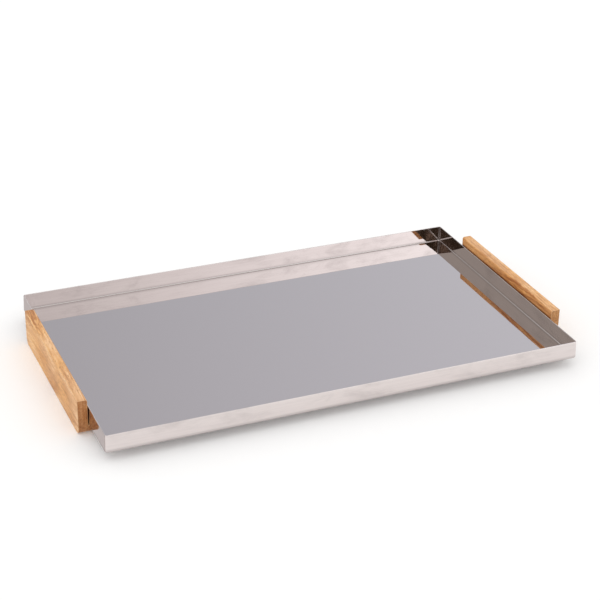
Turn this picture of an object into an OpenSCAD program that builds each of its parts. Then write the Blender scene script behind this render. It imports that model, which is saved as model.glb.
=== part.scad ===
// Serving tray: a folded and welded steel pan standing on two rebated wooden bars.
// The bars lie outside the short ends and are both the handles and the feet.
// Origin in the middle of the footprint, on the surface that the tray stands on.
// X runs along the tray, Y across it with the front at -Y, and Z up. Millimetres.

/* [Steel pan] */
// Length over the two end walls
pan_l = 530; // [300:1:700]
// Width over the two long walls
pan_w = 325; // [250:1:450]
// Height from the underside of the floor to the rim
pan_h = 20; // [12:0.5:60]
// Thickness of the sheet
sheet_t = 1; // [0.6:0.1:2]
// Inside radius of the bend between floor and wall
bend_r = 1; // [0.5:0.1:4]
// Set-in of the rim from the bend, as the walls are folded a little past square
rim_in = 0.6; // [0:0.1:2]
// Inside radius of the welded upright corners, at the rim
corner_r = 1.5; // [0.5:0.1:6]

/* [Wooden bars] */
// Length of a bar across the end of the pan
bar_len = 210; // [140:1:230]
// Thickness of the upright grip
grip_t = 10.6; // [8:0.1:16]
// Height of the grip above the rim
grip_rise = 9.5; // [4:0.5:30]
// Gap between the grip and the end wall of the pan, at the bend
wall_gap = 0.4; // [0.3:0.1:3]
// Thickness of the foot, which lifts the pan off the table
foot_t = 10; // [9:0.5:20]
// Reach of the foot under the pan, from the end wall
foot_reach = 24; // [20:0.5:40]
// Radius of the two lower corners, seen from the end of the tray
lower_corner_r = 8; // [2:0.5:9]
// Radius of the eased long edges and upper corners
ease_r = 0.5; // [0.4:0.1:2]
// Fillet in the root of the rebate
root_r = 0.8; // [0.3:0.1:1]

/* [Fixings] */
// Diameter of the weld studs under the floor
stud_d = 4; // [3:0.5:5]
// Diameter of the flange that is welded to the floor
flange_d = 5.5; // [5.2:0.1:8]
// Thickness of that flange
flange_t = 0.8; // [0.5:0.1:1.2]
// Chamfer on the tip of a stud
tip_chamfer = 0.5; // [0.2:0.1:1]
// Distance of the studs from the end wall of the pan
stud_inset = 13; // [9:0.5:14]
// Distance of the outer studs from the ends of a bar
stud_end = 30; // [20:1:50]
// Outside diameter of the washers
washer_d = 9; // [8:0.5:10]
// Thickness of the washers
washer_t = 0.8; // [0.5:0.1:1.2]
// Width of the nuts across their flats
nut_af = 7; // [6.5:0.5:8]
// Height of the nuts
nut_h = 3.2; // [2.2:0.1:4]
// Height of the chamfer on the corners of a nut
nut_chamfer = 0.5; // [0.2:0.1:0.8]
// Length of stud standing out of its nut
thread_out = 0.6; // [0.4:0.1:1]
// Set-back of the stud's tip from the underside of the foot
tip_recess = 0.6; // [0.3:0.1:1]

/* [Clearances] */
// Clearance on diameter between stud and nut or washer
thread_play = 0.1; // [0.02:0.02:0.2]
// Clearance on diameter between stud and its hole in the foot
hole_play = 0.5; // [0.2:0.1:1]
// Clearance on diameter round the weld flange
flange_play = 0.5; // [0.2:0.1:1]
// Clearance under the weld flange in its recess
flange_gap = 0.2; // [0.1:0.1:0.5]
// Clearance on diameter round the washer, for a socket
socket_play = 2; // [1:0.5:4]

/* [Hidden] */
$fn = 64;
overcut = 1;
steel = [0.84, 0.83, 0.82];
wood = [0.80, 0.59, 0.39];
zinc = [0.66, 0.67, 0.68];

// Each side is a name and the sign of its X, each place a name and the sign of its Y
SIDES = [["left", -1], ["right", 1]];
PLACES = [["front", -1], ["middle", 0], ["back", 1]];
FIXINGS = [for (side = SIDES) for (place = PLACES) [str(side[0], "_", place[0]), side[1], place[1]]];

// Pan: outside radii of its bends and of its corners there, and the height where the rim's round begins
bend_out = bend_r + sheet_t;
corner_out = max(corner_r + rim_in, bend_r) + sheet_t;
rim_z = pan_h - sheet_t / 2;

// Pan: straight runs between the corners
run_l = pan_l - 2 * corner_out;
run_w = pan_w - 2 * corner_out;

// Bar: the pan lies on top of the foot, and the grip stands clear of the end wall
bar_h = foot_t + pan_h + grip_rise;
foot_tip_x = pan_l / 2 - foot_reach;
grip_in_x = pan_l / 2 + wall_gap;
grip_out_x = grip_in_x + grip_t;

// Fixings: stacked up from the stud's tip, which stays above the table
nut_z = tip_recess + thread_out;
washer_z = nut_z + nut_h;
seat_z = washer_z + washer_t;
stud_x = pan_l / 2 - stud_inset;
stud_y = bar_len / 2 - stud_end;

// Corner of a rectangle that a round of radius r takes away
module corner_waste(r) {
    difference() {
        translate([-overcut, -overcut]) square(r + overcut);
        translate([r, r]) circle(r);
    }
}

// Rectangle from lo to hi, its lower corners rounded by low_r and its upper ones by high_r
module eased_rect(lo, hi, low_r, high_r) {
    difference() {
        translate(lo) square(hi - lo);
        translate(lo) corner_waste(low_r);
        translate([hi.x, lo.y]) mirror([1, 0]) corner_waste(low_r);
        translate([lo.x, hi.y]) mirror([0, 1]) corner_waste(high_r);
        translate(hi) rotate(180) corner_waste(high_r);
    }
}

// Cross-section of the sheet: floor edge, bend, leaning wall and rounded rim, outermost at x = 0
module sheet_section() {
    if (corner_out > bend_out) translate([-corner_out, 0]) square([corner_out - bend_out, sheet_t]);
    translate([-bend_out, bend_out]) intersection() {
        difference() {
            circle(bend_out);
            circle(bend_r);
        }
        translate([0, -bend_out]) square(bend_out);
    }
    polygon([[-sheet_t, bend_out], [0, bend_out], [-rim_in, rim_z], [-rim_in - sheet_t, rim_z]]);
    translate([-rim_in - sheet_t / 2, rim_z]) intersection() {
        circle(d = sheet_t);
        translate([-sheet_t, 0]) square([2 * sheet_t, sheet_t]);
    }
}

// One straight folded edge, its outer face at x = reach
module folded_edge(reach, length) {
    translate([reach, 0, 0]) rotate([90, 0, 0]) linear_extrude(length, center = true) sheet_section();
}

// Pan: one sheet folded up on four sides, the corners welded and polished round
module tray_pan() {
    color(steel) translate([0, 0, foot_t]) {
        translate([-run_l / 2, -run_w / 2, 0]) cube([run_l, run_w, sheet_t]);
        for (turn = [0, 180]) {
            rotate(turn) folded_edge(pan_l / 2, run_w);
            rotate(turn + 90) folded_edge(pan_w / 2, run_l);
        }
        for (sx = [0, 1]) for (sy = [0, 1]) mirror([sx, 0, 0]) mirror([0, sy, 0])
            translate([run_l / 2, run_w / 2, 0]) rotate_extrude(angle = 90) intersection() {
                translate([corner_out, 0]) sheet_section();
                square([2 * corner_out, 2 * pan_h]);
            }
    }
}

// Section of a bar: upright grip and foot, with the rebate for the pan between them
module bar_section() {
    eased_rect([grip_in_x, 0], [grip_out_x, bar_h], ease_r, ease_r);
    eased_rect([foot_tip_x, 0], [grip_out_x, foot_t], ease_r, ease_r);
    translate([grip_in_x, foot_t]) mirror([1, 0]) difference() {
        square(root_r);
        translate([root_r, root_r]) circle(root_r);
    }
}

// Hole for one stud: recess for the weld flange, clear hole, and counterbore for the nut
module stud_hole() {
    translate([0, 0, -overcut]) cylinder(d = stud_d + hole_play, h = foot_t + 2 * overcut);
    translate([0, 0, foot_t - flange_t - flange_gap]) cylinder(d = flange_d + flange_play, h = foot_t);
    translate([0, 0, -overcut]) cylinder(d = washer_d + socket_play, h = seat_z + overcut);
}

// Bar: the section along Y, cut by its outlines from the end and from above
module handle(side) {
    color(wood) mirror([side < 0 ? 1 : 0, 0, 0]) difference() {
        intersection() {
            rotate([90, 0, 0]) linear_extrude(bar_len, center = true) bar_section();
            translate([foot_tip_x, 0, 0]) rotate([90, 0, 90]) linear_extrude(grip_out_x - foot_tip_x)
                eased_rect([-bar_len / 2, 0], [bar_len / 2, bar_h], lower_corner_r, ease_r);
            linear_extrude(bar_h)
                eased_rect([foot_tip_x, -bar_len / 2], [grip_out_x, bar_len / 2], ease_r, ease_r);
        }
        for (place = PLACES) translate([stud_x, place[1] * stud_y, 0]) stud_hole();
    }
}

// Puts a fixing on its stud's axis
module at_stud(fixing) {
    translate([fixing[1] * stud_x, fixing[2] * stud_y, 0]) children();
}

// Weld stud: shank with a chamfered tip, and the flange fused to the underside of the floor
module weld_stud(fixing) {
    color(zinc) at_stud(fixing) {
        translate([0, 0, tip_recess])
            cylinder(d1 = stud_d - 2 * tip_chamfer, d2 = stud_d, h = tip_chamfer);
        translate([0, 0, tip_recess + tip_chamfer])
            cylinder(d = stud_d, h = foot_t - tip_recess - tip_chamfer);
        translate([0, 0, foot_t - flange_t]) cylinder(d = flange_d, h = flange_t);
    }
}

// Washer: flat ring against the ceiling of the counterbore
module washer(fixing) {
    color(zinc) at_stud(fixing) translate([0, 0, washer_z]) difference() {
        cylinder(d = washer_d, h = washer_t);
        translate([0, 0, -overcut]) cylinder(d = stud_d + thread_play, h = washer_t + 2 * overcut);
    }
}

// Nut: hexagon with its corners turned off at both ends
module nut(fixing) {
    corner_d = nut_af / cos(30);
    color(zinc) at_stud(fixing) translate([0, 0, nut_z]) difference() {
        intersection() {
            cylinder(d = corner_d, h = nut_h, $fn = 6);
            union() {
                cylinder(d1 = nut_af, d2 = corner_d, h = nut_chamfer);
                translate([0, 0, nut_chamfer]) cylinder(d = corner_d, h = nut_h - 2 * nut_chamfer);
                translate([0, 0, nut_h - nut_chamfer]) cylinder(d1 = corner_d, d2 = nut_af, h = nut_chamfer);
            }
        }
        translate([0, 0, -overcut]) cylinder(d = stud_d + thread_play, h = nut_h + 2 * overcut);
    }
}

tray_pan();
for (side = SIDES) handle(side[1]);
for (fixing = FIXINGS) weld_stud(fixing);
for (fixing = FIXINGS) washer(fixing);
for (fixing = FIXINGS) nut(fixing);
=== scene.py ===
import math

import bmesh
import bpy
from mathutils import Matrix, Vector


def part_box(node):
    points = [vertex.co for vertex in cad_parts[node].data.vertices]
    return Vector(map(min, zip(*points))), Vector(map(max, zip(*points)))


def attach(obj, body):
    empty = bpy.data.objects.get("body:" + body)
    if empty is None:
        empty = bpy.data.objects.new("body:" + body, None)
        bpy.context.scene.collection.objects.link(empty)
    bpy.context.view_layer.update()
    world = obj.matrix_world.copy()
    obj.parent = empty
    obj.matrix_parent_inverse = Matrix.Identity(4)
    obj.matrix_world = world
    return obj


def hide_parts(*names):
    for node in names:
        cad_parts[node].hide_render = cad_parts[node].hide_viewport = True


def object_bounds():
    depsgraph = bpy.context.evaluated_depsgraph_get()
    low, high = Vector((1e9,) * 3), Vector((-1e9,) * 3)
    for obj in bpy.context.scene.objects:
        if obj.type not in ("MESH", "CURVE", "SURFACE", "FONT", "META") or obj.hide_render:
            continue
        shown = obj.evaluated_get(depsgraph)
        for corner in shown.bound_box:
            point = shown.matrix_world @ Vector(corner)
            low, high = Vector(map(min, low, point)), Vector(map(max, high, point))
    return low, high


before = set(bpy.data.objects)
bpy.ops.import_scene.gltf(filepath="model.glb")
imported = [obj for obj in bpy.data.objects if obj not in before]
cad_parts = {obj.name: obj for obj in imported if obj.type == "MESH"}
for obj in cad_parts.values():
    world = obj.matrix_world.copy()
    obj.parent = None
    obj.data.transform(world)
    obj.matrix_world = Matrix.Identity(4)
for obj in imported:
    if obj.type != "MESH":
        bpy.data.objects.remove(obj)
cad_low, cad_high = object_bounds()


# Steel pan: one sheet of stainless steel, a millimetre thick, folded up a little past square.
# The upright corners are welded, ground flush and polished round like the bare rim, and the
# pan is buffed to a mirror, duller on the floor, that still shows faint waves and wipe marks.
pan_low, pan_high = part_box("tray_pan")
sheet_thick = 0.001
bend_outside = 0.002
corner_outside = 0.0031
rim_set_in = 0.0006
rim_round = 0.00042
rim_zone = 0.0001
touching = 1e-6
facing_up = 0.9


def round_over(shape, edges, radius, steps):
    return bmesh.ops.bevel(shape, geom=edges, offset=radius, segments=steps, profile=0.5,
                           affect="EDGES", material=-1)


pan_shape = bmesh.new()
bmesh.ops.create_cube(pan_shape, size=1.0)
bmesh.ops.scale(pan_shape, vec=pan_high - pan_low, verts=pan_shape.verts)
bmesh.ops.translate(pan_shape, vec=(pan_low + pan_high) / 2, verts=pan_shape.verts)
lid = [face for face in pan_shape.faces if face.normal.z > facing_up]
bmesh.ops.delete(pan_shape, geom=lid, context="FACES_ONLY")
uprights = [edge for edge in pan_shape.edges if edge.verts[0].co.z != edge.verts[1].co.z]
round_over(pan_shape, uprights, corner_outside, steps=8)
fold_height = pan_low.z + touching
folds = [edge for edge in pan_shape.edges if all(vert.co.z < fold_height for vert in edge.verts)]
round_over(pan_shape, folds, bend_outside, steps=6)
rim_height = pan_high.z - rim_zone
for vert in pan_shape.verts:
    if vert.co.z > rim_height:
        corner_axis = Vector((math.copysign(pan_high.x - corner_outside, vert.co.x),
                              math.copysign(pan_high.y - corner_outside, vert.co.y), vert.co.z))
        vert.co -= (vert.co - corner_axis).normalized() * rim_set_in
bmesh.ops.recalc_face_normals(pan_shape, faces=pan_shape.faces)
bmesh.ops.solidify(pan_shape, geom=pan_shape.faces[:], thickness=sheet_thick)
rim = [edge for edge in pan_shape.edges if all(vert.co.z > rim_height for vert in edge.verts)]
rim = [edge for edge in rim if any(face.normal.z < facing_up for face in edge.link_faces)]
round_over(pan_shape, rim, rim_round, steps=3)


def finished_piece(name, shape, slot, *nodes):
    mesh = bpy.data.meshes.new(name)
    shape.to_mesh(mesh)
    shape.free()
    mesh.shade_smooth()
    piece = bpy.data.objects.new(name, mesh)
    bpy.context.scene.collection.objects.link(piece)
    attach(piece, "root")
    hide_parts(*nodes)
    return piece


def flatten_shading(piece):
    weights = piece.modifiers.new("flat_faces", "WEIGHTED_NORMAL")
    weights.mode = "FACE_AREA"
    weights.weight = 100
    weights.keep_sharp = True


pan = finished_piece("steel_pan", pan_shape, "polished_steel", "tray_pan")
flatten_shading(pan)


def add_node(tree, kind, inputs=None, **settings):
    step = tree.nodes.new(kind)
    for setting, value in settings.items():
        setattr(step, setting, value)
    for socket, value in (inputs or {}).items():
        if isinstance(value, bpy.types.NodeSocket):
            tree.links.new(value, step.inputs[socket])
        else:
            step.inputs[socket].default_value = value
    return step


def blend_colours(tree, share, first, second, mode="MIX"):
    colour_share, colour_first, colour_second, colour_out = 0, 6, 7, 2
    inputs = {colour_share: share, colour_first: first, colour_second: second}
    step = add_node(tree, "ShaderNodeMix", inputs, data_type="RGBA", blend_type=mode)
    return step.outputs[colour_out]


def ramp_value(tree, value, start, end, at_start=0.0, at_end=1.0, kind="SMOOTHSTEP"):
    inputs = {"Value": value, "From Min": start, "From Max": end, "To Min": at_start, "To Max": at_end}
    return add_node(tree, "ShaderNodeMapRange", inputs, interpolation_type=kind).outputs["Result"]


def math_value(tree, operation, first, second=0.0):
    return add_node(tree, "ShaderNodeMath", {0: first, 1: second}, operation=operation).outputs["Value"]


def noise_value(tree, place, scale=1.0, detail=2.0, roughness=0.5, distortion=0.0):
    inputs = {"Vector": place, "Scale": scale, "Detail": detail, "Roughness": roughness,
              "Distortion": distortion}
    return add_node(tree, "ShaderNodeTexNoise", inputs).outputs[0]


def stretched(tree, place, repeats):
    return add_node(tree, "ShaderNodeMapping", {"Vector": place, "Scale": repeats}).outputs["Vector"]


mirror_steel = bpy.data.materials.new("mirror_polished_steel")
mirror_steel.use_nodes = True
polish = mirror_steel.node_tree
mirror = polish.nodes["Principled BSDF"]
mirror.inputs["Metallic"].default_value = 1.0
on_pan = add_node(polish, "ShaderNodeTexCoord").outputs["Object"]
pan_axes = add_node(polish, "ShaderNodeSeparateXYZ", {"Vector": on_pan}).outputs

clean_steel = (0.740, 0.672, 0.656, 1.0)
wiped_steel = (0.622, 0.562, 0.549, 1.0)
floor_steel = (0.577, 0.524, 0.512, 1.0)
wipe_repeats = (19.0, 19.0, 44.0)
line_repeats = (22.0, 22.0, 900.0)
wall_foot = pan_low.z + bend_outside
wall_fade = 0.003
on_walls = ramp_value(polish, pan_axes["Z"], wall_foot, wall_foot + wall_fade)
wipes = noise_value(polish, stretched(polish, on_pan, wipe_repeats),
                    detail=4.0, roughness=0.62, distortion=0.35)
wipes = ramp_value(polish, wipes, 0.46, 0.72, at_end=0.95)
polish_lines = noise_value(polish, stretched(polish, on_pan, line_repeats), roughness=0.6)
polish_lines = ramp_value(polish, polish_lines, 0.42, 0.68, at_end=0.22)
wipes = math_value(polish, "MULTIPLY", math_value(polish, "ADD", wipes, polish_lines), on_walls)
wall_colour = blend_colours(polish, wipes, clean_steel, wiped_steel)
pan_colour = blend_colours(polish, on_walls, floor_steel, wall_colour)
polish.links.new(pan_colour, mirror.inputs["Base Color"])

wipe_haze = 0.09
haze = noise_value(polish, on_pan, scale=11.0, detail=3.0)
haze = ramp_value(polish, haze, 0.35, 0.7, at_start=0.025, at_end=0.045)
haze = math_value(polish, "ADD", haze, math_value(polish, "MULTIPLY", wipes, wipe_haze))
polish.links.new(haze, mirror.inputs["Roughness"])

wave_depth = 0.00006
waves = noise_value(polish, on_pan, scale=26.0, detail=1.0)
waviness = add_node(polish, "ShaderNodeBump", {"Height": waves, "Strength": 1.0, "Distance": wave_depth})
weld_reach = 0.022
weld_core = 0.0044
near_end = ramp_value(polish, math_value(polish, "ABSOLUTE", pan_axes["X"]),
                      pan_high.x - weld_reach, pan_high.x - weld_core)
near_side = ramp_value(polish, math_value(polish, "ABSOLUTE", pan_axes["Y"]),
                       pan_high.y - weld_reach, pan_high.y - weld_core)
near_weld = math_value(polish, "MULTIPLY", near_end, near_side)
ripple_repeats = (240.0, 240.0, 120.0)
ripple_depth = 0.00012
ripples = noise_value(polish, stretched(polish, on_pan, ripple_repeats))
ripples = math_value(polish, "MULTIPLY", ripples, near_weld)
ground = add_node(polish, "ShaderNodeBump",
                  {"Height": ripples, "Strength": 1.0, "Distance": ripple_depth,
                   "Normal": waviness.outputs["Normal"]})
polish.links.new(ground.outputs["Normal"], mirror.inputs["Normal"])
pan.data.materials.append(mirror_steel)


# Wooden bars: one length of light brown hardwood at each short end, rebated so that the pan lies
# on its foot and its grip stands up past the rim. The edges are eased with sandpaper, the lower
# corners and the grip's inner top edge rounded over, and three holes in the foot take the fixings.
grip_thick = 0.0106
foot_thick = 0.010
lower_round = 0.008
arris_round = 0.0005
root_round = 0.0008
finger_round = 0.0022
counterbore_radius = 0.0055
hole_radius = 0.00225
flange_recess_radius = 0.003
flange_recess_depth = 0.001
drill_past = 0.001
drill_sides = 48
drill_merge = 1e-7
crisp_edge = math.radians(40.0)
places_along = ("front", "middle", "back")


def stud_drills(side_name, low, foot_z):
    drills = bmesh.new()
    bottom_z = low.z - drill_past
    recess_z = foot_z - flange_recess_depth
    top_z = foot_z + drill_past
    for place in places_along:
        nut_low, nut_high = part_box("nut_" + side_name + "_" + place)
        seat_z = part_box("washer_" + side_name + "_" + place)[1].z
        axis = Vector(((nut_low.x + nut_high.x) / 2, (nut_low.y + nut_high.y) / 2, 0.0))
        profile = [(0.0, bottom_z), (counterbore_radius, bottom_z),
                   (counterbore_radius, seat_z), (hole_radius, seat_z),
                   (hole_radius, recess_z), (flange_recess_radius, recess_z),
                   (flange_recess_radius, top_z), (0.0, top_z)]
        points = [drills.verts.new((axis.x + radius, axis.y, z)) for radius, z in profile]
        lines = [drills.edges.new(pair) for pair in zip(points, points[1:])]
        bmesh.ops.spin(drills, geom=points + lines, cent=axis, axis=(0.0, 0.0, 1.0),
                       dvec=(0.0, 0.0, 0.0), angle=math.tau, steps=drill_sides, use_merge=True)
    bmesh.ops.remove_doubles(drills, verts=drills.verts[:], dist=drill_merge)
    bmesh.ops.recalc_face_normals(drills, faces=drills.faces[:])
    mesh = bpy.data.meshes.new("stud_drills")
    drills.to_mesh(mesh)
    drills.free()
    cutter = bpy.data.objects.new("stud_drills", mesh)
    bpy.context.scene.collection.objects.link(cutter)
    return cutter


def drill(bar, cutter):
    cut = bar.modifiers.new("stud_holes", "BOOLEAN")
    cut.operation = "DIFFERENCE"
    cut.solver = "EXACT"
    cut.object = cutter
    bpy.context.view_layer.update()
    drilled = bpy.data.meshes.new_from_object(bar.evaluated_get(bpy.context.evaluated_depsgraph_get()))
    bar.modifiers.remove(cut)
    bar.data = drilled
    drilled.name = bar.name
    drilled.set_sharp_from_angle(angle=crisp_edge)
    bpy.data.objects.remove(cutter)


def wooden_bar(name, side_name, side):
    node = "handle_" + side_name
    low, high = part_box(node)
    outer_x = high.x if side > 0 else low.x
    tip_x = low.x if side > 0 else high.x
    grip_x = outer_x - side * grip_thick
    foot_z = low.z + foot_thick
    section = [(tip_x, low.z), (outer_x, low.z), (outer_x, high.z),
               (grip_x, high.z), (grip_x, foot_z), (tip_x, foot_z)]
    shape = bmesh.new()
    worn = shape.faces.layers.float.new("eased_edge")
    corners = [shape.verts.new((x, low.y, z)) for x, z in section]
    start = shape.faces.new(corners)
    drawn = bmesh.ops.extrude_face_region(shape, geom=[start])
    moved = [item for item in drawn["geom"] if isinstance(item, bmesh.types.BMVert)]
    bmesh.ops.translate(shape, vec=(0.0, high.y - low.y, 0.0), verts=moved)
    bmesh.ops.recalc_face_normals(shape, faces=shape.faces)

    low_ends = [edge for edge in shape.edges
                if all(vert.co.z < low.z + touching for vert in edge.verts)
                and abs(edge.verts[0].co.y - edge.verts[1].co.y) < touching]
    round_over(shape, low_ends, lower_round, steps=12)
    root = [edge for edge in shape.edges if not edge.is_convex and edge.calc_face_angle() > crisp_edge]
    round_over(shape, root, root_round, steps=4)
    finger_edge = [edge for edge in shape.edges
                   if all(vert.co.z > high.z - touching for vert in edge.verts)
                   and all(abs(vert.co.x - grip_x) < touching for vert in edge.verts)]
    round_over(shape, finger_edge, finger_round, steps=6)
    arrises = [edge for edge in shape.edges if edge.is_convex and edge.calc_face_angle() > crisp_edge]
    eased = round_over(shape, arrises, arris_round, steps=4)
    for face in eased["faces"]:
        face[worn] = 1.0

    bar = finished_piece(name, shape, "oiled_wood", node)
    drill(bar, stud_drills(side_name, low, foot_z))
    flatten_shading(bar)
    return bar


def oiled_hardwood(name, side, board_shift, streak_centre, streak_reach, end_grain_and_shade_tint):
    material = bpy.data.materials.new(name)
    material.use_nodes = True
    grain = material.node_tree
    wood = grain.nodes["Principled BSDF"]
    on_bar = add_node(grain, "ShaderNodeTexCoord").outputs["Object"]
    height = add_node(grain, "ShaderNodeSeparateXYZ", {"Vector": on_bar}).outputs["Z"]
    grain_slant = (0.085, 0.0, 0.040)
    board_inputs = {"Vector": on_bar, "Location": board_shift, "Rotation": grain_slant}
    along = add_node(grain, "ShaderNodeMapping", board_inputs).outputs["Vector"]

    ring_stretch = (1.0, 0.07, 0.40)
    band_repeats = (78.0, 13.0, 78.0)
    fibre_repeats = (480.0, 24.0, 480.0)
    fleck_repeats = (1700.0, 140.0, 1700.0)
    ring_inputs = {"Vector": stretched(grain, along, ring_stretch), "Scale": 85.0, "Distortion": 14.0,
                   "Detail": 2.0, "Detail Scale": 0.55, "Detail Roughness": 0.55}
    rings = add_node(grain, "ShaderNodeTexWave", ring_inputs, bands_direction="X").outputs["Fac"]
    bands = noise_value(grain, stretched(grain, along, band_repeats),
                        detail=3.0, roughness=0.6, distortion=1.0)
    fibres = noise_value(grain, stretched(grain, along, fibre_repeats), detail=4.0, roughness=0.62)
    flecks = noise_value(grain, stretched(grain, along, fleck_repeats), detail=1.0)

    ring_share = 0.22
    band_share = 0.40
    fibre_share = 0.38
    ring_tone = math_value(grain, "MULTIPLY", rings, ring_share)
    band_tone = ramp_value(grain, bands, 0.32, 0.68, at_end=band_share)
    fibre_tone = ramp_value(grain, fibres, 0.32, 0.68, at_end=fibre_share)
    tone = math_value(grain, "ADD", math_value(grain, "ADD", ring_tone, band_tone), fibre_tone)
    wood_tones = [(0.0, (0.495, 0.221, 0.088)), (0.35, (0.697, 0.365, 0.160)),
                  (0.65, (0.820, 0.473, 0.227)), (1.0, (0.950, 0.655, 0.401))]
    colours = add_node(grain, "ShaderNodeValToRGB", {"Fac": tone})
    stops = colours.color_ramp.elements
    for position, _ in wood_tones[1:-1]:
        stops.new(position)
    for stop, (position, tone_colour) in zip(stops, wood_tones):
        stop.position = position
        stop.color = (*tone_colour, 1.0)

    honey_repeats = (26.0, 9.0, 26.0)
    honey_tint = (1.04, 0.96, 0.70, 1.0)
    honey = noise_value(grain, stretched(grain, along, honey_repeats))
    honey = ramp_value(grain, honey, 0.47, 0.66, at_end=0.80)
    colour = blend_colours(grain, honey, colours.outputs["Color"], honey_tint, "MULTIPLY")

    streak_repeats = (330.0, 20.0, 330.0)
    streak_tint = (0.58, 0.41, 0.29, 1.0)
    from_streak = add_node(grain, "ShaderNodeVectorMath", {0: on_bar, 1: streak_centre},
                           operation="SUBTRACT").outputs[0]
    from_streak = add_node(grain, "ShaderNodeVectorMath", {0: from_streak, 1: streak_reach},
                           operation="DIVIDE").outputs[0]
    from_streak = add_node(grain, "ShaderNodeVectorMath", {0: from_streak},
                           operation="LENGTH").outputs["Value"]
    near_streak = ramp_value(grain, from_streak, 0.4, 1.0, at_start=1.0, at_end=0.0)
    streaks = noise_value(grain, stretched(grain, along, streak_repeats),
                          detail=3.0, roughness=0.6, distortion=1.2)
    streaks = ramp_value(grain, streaks, 0.42, 0.60, at_end=0.95)
    streaks = math_value(grain, "MULTIPLY", streaks, near_streak)
    colour = blend_colours(grain, streaks, colour, streak_tint, "MULTIPLY")

    pore_brown = (0.30, 0.125, 0.042, 1.0)
    pores = ramp_value(grain, flecks, 0.58, 0.68, at_end=0.55)
    colour = blend_colours(grain, pores, colour, pore_brown)

    facing = add_node(grain, "ShaderNodeNewGeometry").outputs["Normal"]
    facing = add_node(grain, "ShaderNodeSeparateXYZ", {"Vector": facing}).outputs
    # End faces take the darker tone of end grain, with painted shade added in the same tint, deeper on
    # the left bar than on the right.
    end_faces = ramp_value(grain, math_value(grain, "ABSOLUTE", facing["Y"]), 0.5, 0.9)
    colour = blend_colours(grain, end_faces, colour, (*end_grain_and_shade_tint, 1.0), "MULTIPLY")
    # Painted shade: the faces turned towards the pan are darkened and warmed, as if they stood out of
    # the light.
    rebate_shade_tint = (0.955, 0.815, 0.595, 1.0)
    to_pan = ramp_value(grain, math_value(grain, "MULTIPLY", facing["X"], -side), 0.4, 0.9)
    colour = blend_colours(grain, to_pan, colour, rebate_shade_tint, "MULTIPLY")

    # Painted shade: a dark band on those faces, from just below to just above the rim, where the gap
    # between wood and steel lies in shadow.
    gap_shade_tint = (0.39, 0.275, 0.19, 1.0)
    gap_shade_below_rim = 0.0004
    gap_shade_above_rim = 0.0022
    gap_shade = ramp_value(grain, height, pan_high.z - gap_shade_below_rim, pan_high.z + gap_shade_above_rim,
                          at_start=1.0, at_end=0.0)
    gap_shade = math_value(grain, "MULTIPLY", to_pan, gap_shade)
    colour = blend_colours(grain, gap_shade, colour, gap_shade_tint, "MULTIPLY")

    edge_pale = (0.82, 0.55, 0.30, 1.0)
    edge_wear = 0.40
    eased_edge = add_node(grain, "ShaderNodeAttribute", attribute_name="eased_edge").outputs["Fac"]
    edge_share = math_value(grain, "MULTIPLY", eased_edge, edge_wear)
    colour = blend_colours(grain, edge_share, colour, edge_pale)
    grain.links.new(colour, wood.inputs["Base Color"])

    sheen = ramp_value(grain, fibres, 0.3, 0.7, at_start=0.46, at_end=0.60)
    grain.links.new(sheen, wood.inputs["Roughness"])
    wood.inputs["Specular IOR Level"].default_value = 0.40
    fibre_relief = 0.6
    pore_depth = 0.00012
    relief = math_value(grain, "MULTIPLY", fibres, fibre_relief)
    relief = math_value(grain, "SUBTRACT", relief, pores)
    surface = add_node(grain, "ShaderNodeBump",
                       {"Height": relief, "Strength": 0.6, "Distance": pore_depth})
    grain.links.new(surface.outputs["Normal"], wood.inputs["Normal"])
    return material


# The end tints below hold end grain and painted shade; the left bar's darker end tint is painted shade.
left_bar = wooden_bar("wooden_bar_left", "left", -1)
left_wood = oiled_hardwood("oiled_hardwood_left", side=-1, board_shift=(0.0, 0.0, 0.0),
                           streak_centre=(-0.268, 0.085, 0.0395), streak_reach=(0.020, 0.055, 0.012),
                           end_grain_and_shade_tint=(0.603, 0.449, 0.328))
left_bar.data.materials.append(left_wood)
right_bar = wooden_bar("wooden_bar_right", "right", 1)
right_wood = oiled_hardwood("oiled_hardwood_right", side=1, board_shift=(0.113, 0.271, 0.057),
                            streak_centre=(0.2655, -0.045, 0.0355), streak_reach=(0.007, 0.085, 0.007),
                            end_grain_and_shade_tint=(0.71, 0.62, 0.49))
right_bar.data.materials.append(right_wood)


# Fixings: plain stainless studs welded to the underside of the pan, each with a washer
# and a hexagon nut that pulls the foot of the bar up against the sheet.
plain_steel = bpy.data.materials.new("plain_stainless_steel")
plain_steel.use_nodes = True
turned = plain_steel.node_tree
steel = turned.nodes["Principled BSDF"]
steel.inputs["Metallic"].default_value = 1.0
on_fixing = add_node(turned, "ShaderNodeTexCoord").outputs["Object"]
scuffs = noise_value(turned, on_fixing, scale=900.0, detail=4.0, roughness=0.6)
bright_steel = (0.60, 0.58, 0.56, 1.0)
dull_steel = (0.42, 0.40, 0.385, 1.0)
turned.links.new(blend_colours(turned, scuffs, dull_steel, bright_steel), steel.inputs["Base Color"])
scuff_haze = ramp_value(turned, scuffs, 0.3, 0.7, at_start=0.22, at_end=0.42)
turned.links.new(scuff_haze, steel.inputs["Roughness"])
for name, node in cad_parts.items():
    if name.startswith(("weld_stud_", "washer_", "nut_")):
        node.data.materials.clear()
        node.data.materials.append(plain_steel)


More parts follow.
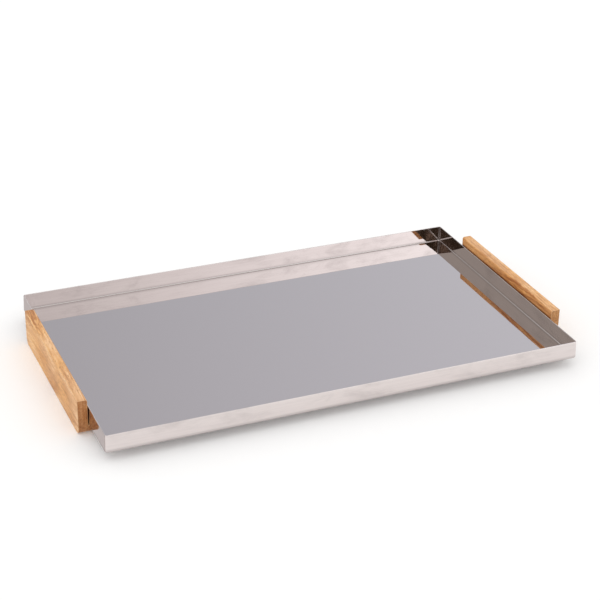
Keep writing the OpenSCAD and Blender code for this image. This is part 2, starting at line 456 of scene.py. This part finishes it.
# Floor: a wide sheet of white paper that the tray stands on.
# It is a little brighter to the eye and in the steel, so that it ends in white.
floor_half = 40.0
floor_drop = 0.0002
floor_shape = bmesh.new()
bmesh.ops.create_grid(floor_shape, x_segments=1, y_segments=1, size=floor_half)
bmesh.ops.translate(floor_shape, vec=(0.0, 0.0, cad_low.z - floor_drop), verts=floor_shape.verts)
floor_mesh = bpy.data.meshes.new("paper_floor")
floor_shape.to_mesh(floor_mesh)
floor_shape.free()
floor = bpy.data.objects.new("paper_floor", floor_mesh)
bpy.context.scene.collection.objects.link(floor)

white_paper = bpy.data.materials.new("white_paper")
white_paper.use_nodes = True
sheet = white_paper.node_tree
sheet.nodes.clear()


def seen_directly(tree):
    path = add_node(tree, "ShaderNodeLightPath").outputs
    seen = math_value(tree, "MAXIMUM", path["Is Camera Ray"], path["Is Glossy Ray"])
    return math_value(tree, "MAXIMUM", seen, path["Is Transmission Ray"])


paper_white = (0.93, 0.925, 0.92, 1.0)
paper_lift = 0.09
matt = add_node(sheet, "ShaderNodeBsdfDiffuse", {"Color": paper_white}).outputs[0]
lift = math_value(sheet, "MULTIPLY", seen_directly(sheet), paper_lift)
glow = add_node(sheet, "ShaderNodeEmission", {"Strength": lift}).outputs[0]
both = add_node(sheet, "ShaderNodeAddShader", {0: matt, 1: glow}).outputs[0]
add_node(sheet, "ShaderNodeOutputMaterial", {"Surface": both})
floor.data.materials.append(white_paper)


# Studio: an even white room, with a broad soft lamp from the upper left. Grey and dark cards
# and one bright panel stand round it for the mirror steel to show, and one more grey card,
# seen only in the steel, lies on the paper outside the left-hand wall as a painted floor shadow.
room_white = (1.0, 1.0, 1.0, 1.0)
room_level = 0.98
seen_level = 1.0
room = bpy.data.worlds.new("white_room")
bpy.context.scene.world = room
room.use_nodes = True
air = room.node_tree
air.nodes.clear()
soft_white = add_node(air, "ShaderNodeBackground", {"Color": room_white, "Strength": room_level})
seen_white = add_node(air, "ShaderNodeBackground", {"Color": room_white, "Strength": seen_level})
shown = add_node(air, "ShaderNodeMixShader",
                 {0: seen_directly(air), 1: soft_white.outputs[0], 2: seen_white.outputs[0]})
add_node(air, "ShaderNodeOutputWorld", {"Surface": shown.outputs[0]})

lamp_from = Vector((-0.60, -0.30, 0.74))
lamp_level = 0.20
lamp_spread = math.radians(60.0)
lamp_data = bpy.data.lights.new("soft_lamp", "SUN")
lamp_data.energy = lamp_level
lamp_data.angle = lamp_spread
lamp = bpy.data.objects.new("soft_lamp", lamp_data)
lamp.rotation_euler = lamp_from.to_track_quat("Z", "Y").to_euler()
lamp.visible_glossy = False
bpy.context.scene.collection.objects.link(lamp)


def out_towards(azimuth, elevation, distance):
    turn = math.radians(azimuth)
    rise = math.radians(elevation)
    level = distance * math.cos(rise)
    return Vector((level * math.sin(turn), level * math.cos(turn), distance * math.sin(rise)))


def reflection_card(name, place, facing, size, solid_share, colour,
                    right_colour=None, streak_colour=None):
    width, height = size
    shape = bmesh.new()
    bmesh.ops.create_grid(shape, x_segments=1, y_segments=1, size=0.5)
    bmesh.ops.scale(shape, vec=(width, height, 1.0), verts=shape.verts)
    mesh = bpy.data.meshes.new(name)
    shape.to_mesh(mesh)
    shape.free()
    card = bpy.data.objects.new(name, mesh)
    card.location = place
    card.rotation_euler = facing.to_track_quat("Z", "Y").to_euler()
    bpy.context.scene.collection.objects.link(card)
    card.visible_camera = False
    card.visible_diffuse = False
    card.visible_shadow = False
    card.visible_transmission = False

    paint = bpy.data.materials.new(name)
    paint.use_nodes = True
    tree = paint.node_tree
    tree.nodes.clear()
    spot = add_node(tree, "ShaderNodeTexCoord").outputs["Object"]
    axes = add_node(tree, "ShaderNodeSeparateXYZ", {"Vector": spot}).outputs
    share = ramp_value(tree, axes["X"], -width / 2, width / 2, kind="LINEAR")
    painted = blend_colours(tree, share, (*colour, 1.0), (*(right_colour or colour), 1.0))
    if streak_colour:
        streak_repeats = (6.0, 2.0, 1.0)
        streak = noise_value(tree, stretched(tree, spot, streak_repeats))
        streak = ramp_value(tree, streak, 0.45, 0.75)
        painted = blend_colours(tree, streak, painted, (*streak_colour, 1.0))
    side = math_value(tree, "DIVIDE", math_value(tree, "ABSOLUTE", axes["X"]), width / 2)
    end = math_value(tree, "DIVIDE", math_value(tree, "ABSOLUTE", axes["Y"]), height / 2)
    border = ramp_value(tree, math_value(tree, "MAXIMUM", side, end), solid_share, 1.0)
    light = add_node(tree, "ShaderNodeEmission", {"Color": painted}).outputs[0]
    clear = add_node(tree, "ShaderNodeBsdfTransparent").outputs[0]
    faded = add_node(tree, "ShaderNodeMixShader", {0: border, 1: light, 2: clear}).outputs[0]
    add_node(tree, "ShaderNodeOutputMaterial", {"Surface": faded})
    mesh.materials.append(paint)


def standing_card(name, azimuth, elevation, distance, size, **colours):
    soft_border = 0.7
    place = out_towards(azimuth, elevation, distance)
    reflection_card(name, place, -place, size, soft_border, **colours)


standing_card("grey_card_far_right", azimuth=23.0, elevation=28.0, distance=5.0, size=(4.8, 4.0),
              colour=(0.494, 0.506, 0.545), right_colour=(0.955, 1.006, 1.103))
standing_card("dim_card_far_left", azimuth=-29.0, elevation=26.0, distance=5.0, size=(4.0, 3.4),
              colour=(0.558, 0.538, 0.506))
standing_card("bright_panel_near_right", azimuth=159.5, elevation=26.0, distance=5.0, size=(3.6, 2.6),
              colour=(2.436, 2.603, 2.692), right_colour=(0.705, 0.692, 0.679))
standing_card("dark_card_near_left", azimuth=208.8, elevation=24.6, distance=5.0, size=(2.0, 1.9),
              colour=(0.051, 0.037, 0.024), streak_colour=(0.462, 0.365, 0.282))
standing_card("dim_strip_left", azimuth=266.0, elevation=26.6, distance=6.0, size=(11.0, 2.0),
              colour=(0.154, 0.141, 0.128), right_colour=(0.077, 0.071, 0.064))
standing_card("dim_strip_near", azimuth=192.0, elevation=26.6, distance=6.0, size=(4.4, 2.0),
              colour=(0.090, 0.077, 0.071))
standing_card("dim_card_overhead", azimuth=120.0, elevation=62.0, distance=5.0, size=(3.4, 3.2),
              colour=(0.538, 0.526, 0.513), right_colour=(1.090, 1.077, 1.064))

# Painted shadow: a flat grey card, seen only in the steel, stands in for the shade on the paper beside
# the left-hand wall.
low_card_size = (0.30, 0.44)
low_card_shadow_grey = (0.61, 0.575, 0.57)
low_card_tuck = 0.006
low_card_past_front = 0.0025
crisp_border = 0.93
low_card_place = Vector((pan_low.x + low_card_tuck - low_card_size[0] / 2,
                         pan_low.y - low_card_past_front + low_card_size[1] / 2,
                         cad_low.z - floor_drop / 2))
reflection_card("floor_shadow_card", low_card_place, Vector((0.0, 0.0, 1.0)), low_card_size,
                crisp_border, low_card_shadow_grey)


# Camera: a long lens on the front left of the tray, looking down at its middle.
# Its focal length is kept in pixels of a square picture, as it was fitted to the tray's edges.
image_pixels = 600.0
focal_pixels = 1598.7
sensor_width = 36.0
camera_place = (-0.6094, -1.4424, 0.8497)
camera_yaw = math.radians(23.141)
camera_pitch = math.radians(26.993)
camera_roll = math.radians(0.947)
camera_data = bpy.data.cameras.new("photo_camera")
camera_data.sensor_width = sensor_width
camera_data.lens = focal_pixels / image_pixels * sensor_width
camera = bpy.data.objects.new("photo_camera", camera_data)
camera.matrix_world = (Matrix.Translation(camera_place)
                       @ Matrix.Rotation(-camera_yaw, 4, "Z")
                       @ Matrix.Rotation(math.pi / 2 - camera_pitch, 4, "X")
                       @ Matrix.Rotation(camera_roll, 4, "Z"))
bpy.context.scene.collection.objects.link(camera)
bpy.context.scene.camera = camera
bpy.context.scene.view_settings.view_transform = "Standard"
